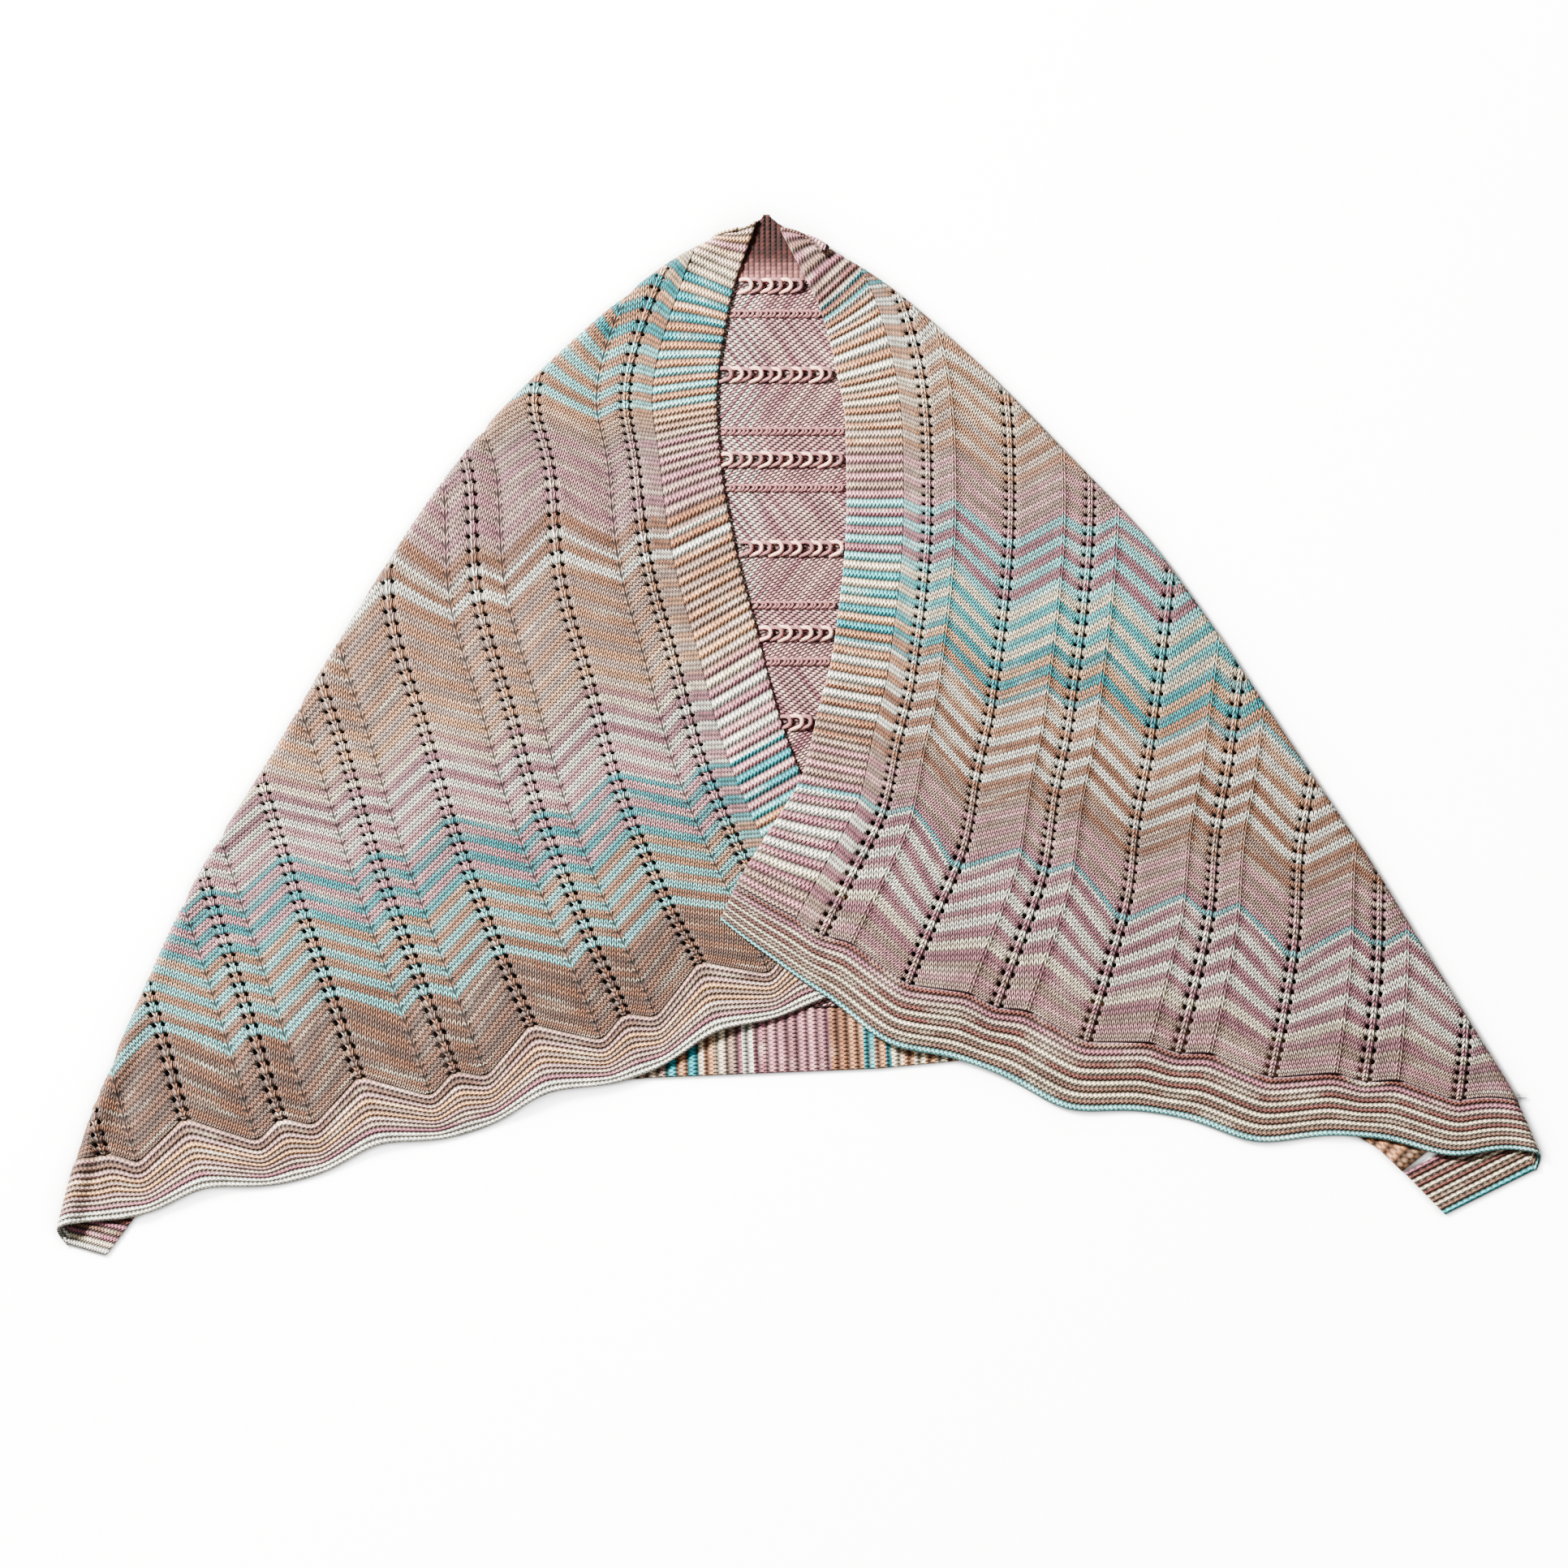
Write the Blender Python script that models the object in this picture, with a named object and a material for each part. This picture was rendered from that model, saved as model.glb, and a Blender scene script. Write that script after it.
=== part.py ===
# Knitted wrap, laid flat with both ends folded forwards into a V.
# One long knitted rectangle, in chevron lace with garter bands on all four edges. It lies face down with
# its middle at the back, and its two ends come forward round slanting folds to make the fronts.
# Frame: X to the right, Y towards the back neck, Z up; the origin is under the middle, on the surface.
# Lengths are in millimetres up to the last step, which writes metres.

import bisect
import math

import bmesh
import bpy
from mathutils import Vector

MM = 0.001

# Driving sizes of the cloth, in millimetres
KNIT = 2.2              # wall of the chevron knitting
GARTER = 2.6            # wall of the garter bands
SEAM = 0.34             # space between neighbouring pieces
LEVEL = 3.1             # underside of a front where it lies on the back
RIDGE = 0.8             # height of a garter ridge on a front
BACK_RIDGE = 0.55       # height of ridges and chains on the back, which a front may cover
CHAIN = 0.9             # height of the chain up the middle of an eyelet column
GROOVE = 0.25           # depth of the lines of holes beside it
CHAIN_SIDE = 1.2        # stitches from the chain to its holes
BAND_STITCHES = 15.5    # width of the neck band
BAND_ROWS = 22          # rows in the garter band across each end
NECK_SPLIT = 94         # row where each neck band's lower stretch meets its upper one
CROSS_LIFT = 3.7        # how far the right front rises to pass over the left one
APEX_LIFT = 12.0        # how far the collar stands up at the back neck
APEX_FOOT = 392.0       # where the collar starts to rise
APEX_TIP = 448.0        # its highest point on the page
LIP = 3.0               # how far a front's fold reaches under itself
LIP_GAP = 1.2           # space from there to the back panel
FOLD_BLEND = 16.0       # how far in from a fold its roundness fades

# Marks across the cloth: the stitch, how far the rows rise there in the knitting, and at the end edge.
# Eyelet columns lie at 22, 44, 65 and so on, and the double decreases between them.
MARKS = [
    (0.0, 0.0, 0.0),
    (15.5, -3.0, -3.0),
    (22.0, 0.0, -2.0),
    (29.0, -7.0, -3.0),
    (44.0, 8.0, 8.0),
    (58.0, -6.0, -5.0),
    (65.0, 0.0, -6.0),
    (72.0, -7.0, -5.0),
    (87.0, 8.0, 8.0),
    (101.0, -6.0, -5.0),
    (108.0, 0.0, -6.0),
    (115.0, -7.0, -5.0),
    (130.0, 8.0, 8.0),
    (144.0, -6.0, -5.0),
    (151.0, 0.0, -6.0),
    (158.0, -7.0, -5.0),
    (173.0, 8.0, 8.0),
    (187.0, -6.0, -5.0),
    (207.0, -4.0, -4.0),
]
EYELETS = [22.0, 44.0, 65.0, 87.0, 108.0, 130.0, 151.0, 173.0]
DECREASES = [29.0, 58.0, 72.0, 101.0, 115.0, 144.0, 158.0, 187.0]

# Rows of each front from its end edge up to the back neck. Columns: row, stitch at the fold, the neck
# edge (x, y), the fold (x, y), the bow of the row near the neck and near the fold, the radius of the fold.
LEFT_ROWS = [
    (-22, 207.0, 77, -200, -638, -419, 30, 30, 8.0),
    (0, 199.0, 65, -147, -623, -362, 34, 34, 6.0),
    (17, 182.0, 35, -100, -584, -264, 18, 18, 4.6),
    (45, 153.0, -12, 1, -521, -127, 9, 9, 3.6),
    (67, 126.5, -38, 96, -458, -23, 8, 8, 3.4),
    (86, 97.0, -56, 167, -388, 95, 5, 5, 3.4),
    (104, 71.0, -68, 239, -306, 220, 2, 2, 3.4),
    (120, 48.7, -71, 288, -247, 290, 0, 0, 3.6),
    (148, 18.6, -59, 376, -106, 411, 0, 0, 4.2),
    (164, 4.5, -38, 438, -54, 438, 0, 0, 3.2),
]
RIGHT_ROWS = [
    (-22, 190.0, -68, -159, 637, -357, 119, 59, 5.0),
    (0, 184.0, -54, -128, 616, -310, 74, 38, 4.4),
    (11, 175.0, -31, -90, 585, -259, 52, 35, 4.0),
    (27, 160.0, 4, -30, 534, -177, 31, 30, 3.6),
    (43, 148.0, 16, 20, 494, -112, 24, 24, 3.4),
    (60, 127.0, 30, 78, 436, -26, 20, 20, 3.4),
    (93, 81.0, 41, 199, 305, 163, 11, 11, 3.4),
    (110, 59.5, 40, 266, 235, 238, 4, 4, 3.4),
    (126, 36.0, 32, 316, 151, 323, -4, -4, 3.6),
    (143, 17.6, 19, 365, 70, 392, 0, 0, 4.2),
    (162, 4.5, -19, 441, -4, 437, 0, 0, 3.2),
]
# Each front: its rows, the side its rows rise to, how far they wave at the end edge and at the band's
# seam, how far the waves lift, and the height of its decrease lines.
FRONTS = {
    "left": {"rows": LEFT_ROWS, "rise": 1.0, "edge_wave": 1.0, "seam_wave": 2.3, "wave_lift": 4.0,
             "spine": -0.6, "out": -1.0},
    "right": {"rows": RIGHT_ROWS, "rise": -1.0, "edge_wave": 1.1, "seam_wave": 0.9, "wave_lift": 3.0,
              "spine": 1.1, "out": 1.0},
}
STATIONS = [-22, 0, 12, 22, 32, 42, 52, 62, 72, 84, 96, 108, 120, 132, 144, 152]
WAVE_FADE = 12.0        # rows over which the waves of the seam die away into the front

# The back's far band, along the bottom of the page: its edge (x, y) and its inner side (x, y)
HEM = [
    (-554, -392, -612, -366),
    (-479, -358, -500, -306),
    (-392, -337, -408, -285),
    (-339, -327, -351, -274),
    (-234, -305, -241, -250),
    (-129, -295, -131, -240),
    (67, -287, 64, -232),
    (161, -278, 160, -223),
    (291, -284, 299, -230),
    (431, -319, 448, -267),
    (497, -354, 525, -296),
    (520, -376, 600, -312),
]
LEFT_CORNER = (-598, -448)
RIGHT_CORNER = (557, -413)
HEM_SHOWS = (-150, 180)     # where the far band's ridges can be seen
HEM_PITCH = 8.7             # from ridge to ridge along it

# The back in the neck opening: each line's place down the page and its height, as a share of a ridge
BACK_LINES = [
    (388, 1.0), (364, 0.5), (309, 1.0), (258, 0.5), (232, 1.0), (211, 0.5),
    (157, 1.0), (106, 0.5), (84, 1.0), (64, 0.5), (12, 1.0),
]
BACK_LINE_HALF = 3.2        # half the width of such a line


def smooth(t):
    t = min(1.0, max(0.0, t))
    return t * t * (3.0 - 2.0 * t)


def lerp(a, b, t):
    return a + (b - a) * t


def read(rows, column, at):
    """A smooth value of one column of a table of rows, at any row."""
    keys = [row[0] for row in rows]
    at = min(keys[-1], max(keys[0], at))
    i = min(len(keys) - 2, max(0, bisect.bisect_right(keys, at) - 1))

    def slope(k):
        if k == 0 or k == len(keys) - 1:
            a, b = (0, 1) if k == 0 else (k - 1, k)
            return (rows[b][column] - rows[a][column]) / (keys[b] - keys[a])
        before = (rows[k][column] - rows[k - 1][column]) / (keys[k] - keys[k - 1])
        after = (rows[k + 1][column] - rows[k][column]) / (keys[k + 1] - keys[k])
        return 0.0 if before * after <= 0 else 2 * before * after / (before + after)

    span = keys[i + 1] - keys[i]
    t = (at - keys[i]) / span
    start, end = rows[i][column], rows[i + 1][column]
    return ((2 * t**3 - 3 * t**2 + 1) * start + (t**3 - 2 * t**2 + t) * span * slope(i)
            + (3 * t**2 - 2 * t**3) * end + (t**3 - t**2) * span * slope(i + 1))


def section(front, row):
    """One knitted row as it lies: its stitches at the marks, its fold, and the way out at the fold."""
    rows = front["rows"]
    neck = Vector((read(rows, 2, row), read(rows, 3, row)))
    edge = Vector((read(rows, 4, row), read(rows, 5, row)))
    ahead = Vector((read(rows, 4, row + 2), read(rows, 5, row + 2)))
    behind = Vector((read(rows, 4, row - 2), read(rows, 5, row - 2)))
    along = (ahead - behind).normalized()
    out = Vector((along.y, -along.x)) * front["out"]
    radius = read(rows, 8, row)
    last = read(rows, 1, row)
    turn = edge - out * radius
    run = turn - neck
    down = Vector((-run.y, run.x)).normalized()
    if down.y > 0:
        down = -down
    points = []
    stitches = []
    for stitch, body_wave, edge_wave in MARKS:
        stitch = min(stitch, last)
        s = stitch / last
        bow = 3 * s * (1 - s) * (read(rows, 6, row) * (1 - s) + read(rows, 7, row) * s)
        near_fold = min(1.0, (last - stitch) / 12.0)
        if row < 0:
            share = -row / BAND_ROWS
            wave = lerp(front["seam_wave"] * body_wave, front["edge_wave"] * edge_wave, share)
        else:
            wave = front["seam_wave"] * body_wave * max(0.0, 1.0 - row / WAVE_FADE)
        stitches.append(stitch)
        points.append(neck + run * s + down * (bow - front["rise"] * wave * near_fold))
    return {"row": row, "last": last, "edge": edge, "out": out, "radius": radius, "turn": turn,
            "stitches": stitches, "points": points}


def prepare(front):
    top = front["rows"][-1][0]
    front["sections"] = [section(front, row) for row in STATIONS + [top]]


def stitch_at_fold(front, row):
    """The stitch where a row meets the fold, straight between the stations."""
    sections = front["sections"]
    i = min(len(sections) - 2, max(0, bisect.bisect_right([s["row"] for s in sections], row) - 1))
    a, b = sections[i], sections[i + 1]
    return lerp(a["last"], b["last"], (row - a["row"]) / (b["row"] - a["row"]))


def between(front, last):
    """The two stations on each side of a row, and how far it is between them."""
    sections = front["sections"]
    for a, b in zip(sections, sections[1:]):
        if a["last"] >= last >= b["last"] or b is sections[-1]:
            return a, b, (last - a["last"]) / (b["last"] - a["last"])


def in_section(part, stitch):
    """Where a stitch lies on one station's row."""
    stitches = part["stitches"]
    stitch = min(stitch, part["last"])
    for k in range(len(stitches) - 1):
        if stitch <= stitches[k + 1]:
            span = stitches[k + 1] - stitches[k]
            t = (stitch - stitches[k]) / span if span > 0 else 0.0
            return part["points"][k].lerp(part["points"][k + 1], t)
    return part["points"][-1]


def hem_at(x):
    """How far down the page the cloth of the back reaches."""
    line = [(-640, -419), LEFT_CORNER] + [(row[0], row[1]) for row in HEM] + [RIGHT_CORNER, (640, -357)]
    for (x0, y0), (x1, y1) in zip(line, line[1:]):
        if x <= x1:
            return lerp(y0, y1, (x - x0) / (x1 - x0))
    return line[-1][1]


def collar_rise(y):
    """How far the collar has risen towards its tip."""
    t = min(1.0, max(0.0, (y - APEX_FOOT) / (APEX_TIP - APEX_FOOT)))
    return APEX_LIFT * t * t


def front_level(side, x, y):
    """Height of a front's underside: on the back, down to the floor past its hem, over the left front."""
    past_hem = hem_at(x) - y
    level = LEVEL * (1.0 - smooth((past_hem - 8.0) / 18.0))
    if side == "right":
        past_neck = ((x + 17) * 216 + (y - 16) * 94) / 235.6
        past_end = ((x + 28) * 43 - (y + 243) * 105) / 113.5
        level += CROSS_LIFT * (1.0 - smooth((max(past_neck, past_end) - 45.0) / 60.0))
    return level + collar_rise(y)


TURNS = [90.0, 50.0, 5.0, -40.0, -90.0]     # directions round a fold, from its top to its underside


def place_front(side, co, raised, wall, relief):
    """Where a point of a front's cloth lies: co holds the stitch, the row's last stitch and the turn."""
    front = FRONTS[side]
    stitch, last, turn = co.x, co.y, round(co.z)
    a, b, t = between(front, last)
    row = lerp(a["row"], b["row"], t)
    out = a["out"].lerp(b["out"], t).normalized()
    radius = lerp(a["radius"], b["radius"], t)
    fold = a["turn"].lerp(b["turn"], t)
    rise = collar_rise(fold.y)
    if turn > 0 or last - stitch < 0.001:
        angle = math.radians(TURNS[min(turn, len(TURNS) - 1)])
        reach = radius if raised else radius - wall
        tuck = LIP if turn == len(TURNS) else 0.0
        flat = fold + out * (math.cos(angle) * reach - tuck)
        return Vector((flat.x, flat.y, radius + rise + math.sin(angle) * reach))
    flat = in_section(a, stitch).lerp(in_section(b, stitch), t)
    inside = (fold - flat).dot(out)
    rounded = 1.0 - smooth(inside / FOLD_BLEND)
    level = front_level(side, flat.x, flat.y)
    if row < 0:
        share = -row / BAND_ROWS
        wave = (wave_at(stitch) + 7.0) / 15.0
        level += front["wave_lift"] * wave * share * (1.0 - rounded) * smooth((stitch - 22.0) / 22.0)
    z = lerp(level, max(level, 2 * radius + rise - wall), rounded)
    if raised:
        z += wall + relief(front, stitch, row) * min(1.0, (last - stitch) / 5.0)
    return Vector((flat.x, flat.y, z))


def wave_at(stitch):
    for (s0, _, w0), (s1, _, w1) in zip(MARKS, MARKS[1:]):
        if stitch <= s1:
            return lerp(w0, w1, (stitch - s0) / (s1 - s0))
    return MARKS[-1][2]


def garter_relief(front, stitch, row):
    """One ridge every two rows."""
    return RIDGE * (1.0 - abs(row % 2.0 - 1.0))


def knit_relief(front, stitch, row):
    """A raised chain with a line of holes on each side, and the spines where the rows turn."""
    for column in EYELETS:
        if abs(stitch - column) < 0.01:
            return CHAIN
        if abs(stitch - column) < CHAIN_SIDE + 0.01:
            return -GROOVE
    for column in DECREASES:
        if abs(stitch - column) < 0.01:
            return front["spine"]
    return 0.0


def grid(across, along):
    """A sheet in the cloth's own measures, with a line at each value."""
    bm = bmesh.new()
    bmesh.ops.create_grid(bm, x_segments=len(across) - 1, y_segments=len(along) - 1, size=1.0)
    for v in bm.verts:
        i = round((v.co.x + 1.0) / 2.0 * (len(across) - 1))
        j = round((v.co.y + 1.0) / 2.0 * (len(along) - 1))
        v.co = (across[i], along[j], 0.0)
    return bm


def cut_at_fold(bm):
    """Cut the sheet where each row reaches its last stitch, and carry that edge on round the fold."""
    everything = bm.verts[:] + bm.edges[:] + bm.faces[:]
    bmesh.ops.bisect_plane(bm, geom=everything, dist=0.0001, plane_co=(0, 0, 0),
                           plane_no=(1, -1, 0), clear_outer=True)
    edge = [e for e in bm.edges if all(abs(v.co.x - v.co.y) < 0.001 for v in e.verts)]
    for turn in range(1, len(TURNS) + 1):
        made = bmesh.ops.extrude_edge_only(bm, edges=edge)["geom"]
        edge = [g for g in made if isinstance(g, bmesh.types.BMEdge)]
        for v in {v for e in edge for v in e.verts}:
            v.co.z = turn


def shell(name, bm, place, colour):
    """Give the sheet its wall, lay both sides in place and make the object."""
    made = bmesh.ops.extrude_face_region(bm, geom=bm.verts[:] + bm.edges[:] + bm.faces[:],
                                         use_keep_orig=True)["geom"]
    raised = {g for g in made if isinstance(g, bmesh.types.BMVert)}
    for v in bm.verts:
        v.co = place(v.co.copy(), v in raised) * MM
    bmesh.ops.recalc_face_normals(bm, faces=bm.faces)
    mesh = bpy.data.meshes.new(name)
    bm.to_mesh(mesh)
    bm.free()
    obj = bpy.data.objects.new(name, mesh)
    collection.objects.link(obj)
    material = bpy.data.materials.new(name)
    material.use_nodes = True
    shader = material.node_tree.nodes["Principled BSDF"]
    shader.inputs["Base Color"].default_value = (*colour, 1.0)
    shader.inputs["Roughness"].default_value = 0.9
    mesh.materials.append(material)
    return obj


def front_piece(side, name, stitches, rows, wall, relief, colour):
    """A piece of one front, between two stitches and two rows, with its fold."""
    front = FRONTS[side]
    bm = grid(stitches, [stitch_at_fold(front, row) for row in rows])
    cut_at_fold(bm)
    shell(name, bm, lambda co, raised: place_front(side, co, raised, wall, relief), colour)


def body_stitches():
    """Lines up the chevron knitting: the chains, their holes and the decreases."""
    lines = [BAND_STITCHES + 0.05, 207.0] + DECREASES
    for column in EYELETS:
        lines += [column - CHAIN_SIDE, column, column + CHAIN_SIDE]
    return sorted(lines)


def make_front(side, knit_colour, band_colour, end_colour):
    front = FRONTS[side]
    prepare(front)
    top = front["rows"][-1][0]
    body_rows = [0.04] + STATIONS[2:]
    front_piece(side, side + "_front", body_stitches(), body_rows + [top], KNIT, knit_relief, knit_colour)
    band = [0.0, BAND_STITCHES - 0.05]
    lower = [0.04] + list(range(1, NECK_SPLIT)) + [NECK_SPLIT - 0.1]
    upper = list(range(NECK_SPLIT, top + 1))
    front_piece(side, side + "_neck_band_lower", band, lower, GARTER, garter_relief, band_colour)
    front_piece(side, side + "_neck_band_upper", band, upper, GARTER, garter_relief, band_colour)
    end_rows = list(range(-BAND_ROWS, 0)) + [-0.2]
    front_piece(side, side + "_end_band", [mark[0] for mark in MARKS], end_rows, GARTER,
                garter_relief, end_colour)


def lip_line(side):
    """Where the back may begin beside a fold, from the collar's tip down to the end band."""
    line = []
    for part in reversed(FRONTS[side]["sections"]):
        point = part["turn"] - part["out"] * (LIP + LIP_GAP)
        line.append((point.x, point.y))
    return line


def on_line(line, y):
    """The x of a line that runs down the page, at one height."""
    for (x0, y0), (x1, y1) in zip(line, line[1:]):
        if y >= y1:
            return lerp(x0, x1, (y0 - y) / (y0 - y1))
    return line[-1][0]


def make_back_panel(colour):
    """The middle of the cloth, wrong side up, with its chains and ridges in the neck opening."""
    left, right = lip_line("left"), lip_line("right")
    top = APEX_FOOT - SEAM
    left_end, right_end = (HEM[0][2], HEM[0][3] + 0.6), (HEM[-1][2], HEM[-1][3] + 0.6)
    inner = [(row[2], row[3]) for row in HEM]
    chord = [lerp(left_end[1], right_end[1], (x - left_end[0]) / (right_end[0] - left_end[0]))
             for x, _ in inner]
    across = [(x - left_end[0]) / (right_end[0] - left_end[0]) for x, _ in inner]
    belly = [y + SEAM - line for (_, y), line in zip(inner, chord)]
    lines = []
    for y, share in BACK_LINES:
        lines += [(y + BACK_LINE_HALF, 0.0), (y, share), (y - BACK_LINE_HALF, 0.0)]
    lines = [(y, share) for y, share in lines if y < top - 0.5]
    rows = [(top, 0.0)] + lines + [(-50, 0.0), (-110, 0.0), (-170, 0.0), (-230, 0.0), (-280, 0.0)]
    bm = grid(across, list(range(len(rows) + 1)))

    def place(co, raised):
        k = round(co.y)
        i = min(range(len(across)), key=lambda n: abs(across[n] - co.x))
        if k < len(rows):
            y, share = rows[k]
            x0, x1 = on_line(left, y), on_line(right, y)
            sag = smooth((20 - y) / 340.0)
            point = Vector((lerp(x0, x1, co.x), y + sag * belly[i] * 0.9, 0.0))
        else:
            share = 0.0
            point = Vector((inner[i][0], inner[i][1] + SEAM, 0.0))
        if raised:
            point.z = KNIT + share * BACK_RIDGE
        return point

    shell("back_panel", bm, place, colour)


def make_back_neck_band(colour):
    """The garter band behind the neck, which stands up towards its tip."""
    left, right = lip_line("left"), lip_line("right")
    heights = [APEX_FOOT, 400, 408, 416, 424, 430, 435, 440, 444, APEX_TIP]
    bm = grid([0.0, 0.25, 0.5, 0.75, 1.0], heights)

    def place(co, raised):
        y = co.y
        x0, x1 = on_line(left, min(y, 430)), on_line(right, min(y, 430))
        narrow = smooth((y - 430.0) / 18.0)
        x0, x1 = lerp(x0, -31.0, narrow), lerp(x1, -25.0, narrow)
        return Vector((lerp(x0, x1, co.x), y, collar_rise(y) + (GARTER if raised else 0.0)))

    shell("back_neck_band", bm, place, colour)


def make_back_hem_band(colour):
    """The cloth's far band, along the bottom of the page, ridged where it shows."""
    xs = [row[0] for row in HEM]
    lines = [x for x in xs if not HEM_SHOWS[0] < x < HEM_SHOWS[1]]
    steps = int((HEM_SHOWS[1] - HEM_SHOWS[0]) / HEM_PITCH * 2)
    lines = sorted(lines + [HEM_SHOWS[0] + HEM_PITCH / 2 * k for k in range(steps + 1)])
    bm = grid(lines, [0.0, 1.0])

    def place(co, raised):
        for low, high in zip(HEM, HEM[1:]):
            if co.x <= high[0]:
                t = (co.x - low[0]) / (high[0] - low[0])
                edge = Vector((lerp(low[0], high[0], t), lerp(low[1], high[1], t), 0.0))
                inside = Vector((lerp(low[2], high[2], t), lerp(low[3], high[3], t), 0.0))
                break
        point = edge.lerp(inside, co.y)
        if raised:
            point.z = KNIT
            step = (co.x - HEM_SHOWS[0]) / HEM_PITCH
            if HEM_SHOWS[0] - 0.1 <= co.x <= HEM_SHOWS[1] + 0.1:
                point.z += BACK_RIDGE * (1.0 - abs(step * 2.0 % 2.0 - 1.0))
        return point

    shell("back_hem_band", bm, place, colour)


def make_under_corner(side, corner, seam_edge, seam_fold, colour):
    """The corner of the end band that is turned under, ridged like the band."""
    end = FRONTS[side]["sections"][0]
    fold = end["turn"] - end["out"] * (LIP + SEAM)
    bm = grid(list(range(-BAND_ROWS, 1)), [0.0, 1.0])
    corner = Vector(corner)
    seam_edge = Vector(seam_edge)
    seam_fold = Vector(seam_fold)

    def place(co, raised):
        share = (co.x + BAND_ROWS) / BAND_ROWS
        flat = fold.lerp(seam_fold, share).lerp(corner.lerp(seam_edge, share), co.y)
        point = Vector((flat.x, flat.y, 0.0))
        if raised:
            point.z = KNIT + BACK_RIDGE * (1.0 - abs(co.x % 2.0 - 1.0))
        return point

    shell(side + "_under_corner", bm, place, colour)


for old in list(bpy.data.objects):
    bpy.data.objects.remove(old, do_unlink=True)
collection = bpy.data.collections.new("knitted_wrap")
bpy.context.scene.collection.children.link(collection)

make_front("left", (0.55, 0.42, 0.36), (0.60, 0.50, 0.45), (0.62, 0.52, 0.45))
make_front("right", (0.52, 0.38, 0.36), (0.55, 0.42, 0.36), (0.50, 0.38, 0.33))
make_back_panel((0.56, 0.40, 0.38))
make_back_neck_band((0.40, 0.25, 0.24))
make_back_hem_band((0.50, 0.34, 0.33))
make_under_corner("left", LEFT_CORNER, (-555.5, -392.5), (-612.5, -366.6), (0.38, 0.28, 0.24))
make_under_corner("right", RIGHT_CORNER, (521.5, -376.6), (600.6, -313.0), (0.36, 0.27, 0.25))
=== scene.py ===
import math

import bmesh
import bpy
import numpy as np
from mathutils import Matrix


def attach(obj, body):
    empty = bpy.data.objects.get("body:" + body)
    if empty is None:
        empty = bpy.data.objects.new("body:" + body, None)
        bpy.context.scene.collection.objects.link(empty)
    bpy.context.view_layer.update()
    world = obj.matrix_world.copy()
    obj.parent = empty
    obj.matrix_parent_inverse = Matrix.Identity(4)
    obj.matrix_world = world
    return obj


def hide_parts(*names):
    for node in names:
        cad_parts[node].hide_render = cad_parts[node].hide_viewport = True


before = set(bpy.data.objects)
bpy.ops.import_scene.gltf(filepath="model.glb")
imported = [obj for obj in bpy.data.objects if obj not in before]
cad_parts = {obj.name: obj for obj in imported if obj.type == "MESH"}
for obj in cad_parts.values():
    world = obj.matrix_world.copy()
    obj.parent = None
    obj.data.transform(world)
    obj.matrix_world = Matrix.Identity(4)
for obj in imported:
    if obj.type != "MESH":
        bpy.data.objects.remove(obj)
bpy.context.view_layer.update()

# Fronts: the two ends of one long piece of chevron lace, folded forwards round slanting folds.
# They are knitted in two wools, two rows of each in turn, between columns of eyelets and lines
# of decreases. Every point is laid by its stitch and row, so holes and stripes follow the knitting.
MM = 0.001
KNIT = 2.2
LEVEL, CROSS_LIFT, FOLD_BLEND = 3.1, 3.7, 16.0
APEX_LIFT, APEX_FOOT, APEX_TIP = 12.0, 392.0, 448.0
BAND = 15.5
BAND_ROWS = 22.0
CAST = 217.0

# Columns: row, stitches before the fold, neck edge x and y, fold x and y, bow at the neck and
# at the fold, radius of the fold. Lengths are in millimetres.
STITCHES, NECK_X, NECK_Y, FOLD_X, FOLD_Y, BOW_NECK, BOW_FOLD, RADIUS = range(1, 9)
LEFT_ROWS = [
    (-22, 207.0, 77, -200, -638, -419, 30, 30, 8.0),
    (0, 199.0, 65, -147, -623, -362, 34, 34, 6.0),
    (17, 182.0, 35, -100, -584, -264, 18, 18, 4.6),
    (45, 153.0, -12, 1, -521, -127, 9, 9, 3.6),
    (67, 126.5, -38, 96, -458, -23, 8, 8, 3.4),
    (86, 97.0, -56, 167, -388, 95, 5, 5, 3.4),
    (104, 71.0, -68, 239, -306, 220, 2, 2, 3.4),
    (120, 48.7, -71, 288, -247, 290, 0, 0, 3.6),
    (148, 18.6, -59, 376, -106, 411, 0, 0, 4.2),
    (164, 4.5, -38, 438, -54, 438, 0, 0, 3.2),
]
RIGHT_ROWS = [
    (-22, 190.0, -68, -159, 637, -357, 119, 59, 5.0),
    (0, 184.0, -54, -128, 616, -310, 74, 38, 4.4),
    (11, 175.0, -31, -90, 585, -259, 52, 35, 4.0),
    (27, 160.0, 4, -30, 534, -177, 31, 30, 3.6),
    (43, 148.0, 16, 20, 494, -112, 24, 24, 3.4),
    (60, 127.0, 30, 78, 436, -26, 20, 20, 3.4),
    (93, 81.0, 41, 199, 305, 163, 11, 11, 3.4),
    (110, 59.5, 40, 266, 235, 238, 4, 4, 3.4),
    (126, 36.0, 32, 316, 151, 323, -4, -4, 3.6),
    (143, 17.6, 19, 365, 70, 392, 0, 0, 4.2),
    (162, 4.5, -19, 441, -4, 437, 0, 0, 3.2),
]
# Columns: hem edge x and y, seam of the hem band x and y
HEM = [
    (-554, -392, -612, -366),
    (-479, -358, -500, -306),
    (-392, -337, -408, -285),
    (-339, -327, -351, -274),
    (-234, -305, -241, -250),
    (-129, -295, -131, -240),
    (67, -287, 64, -232),
    (161, -278, 160, -223),
    (291, -284, 299, -230),
    (431, -319, 448, -267),
    (497, -354, 525, -296),
    (520, -376, 600, -312),
]
LEFT_CORNER = (-598, -448)
RIGHT_CORNER = (557, -413)

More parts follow.
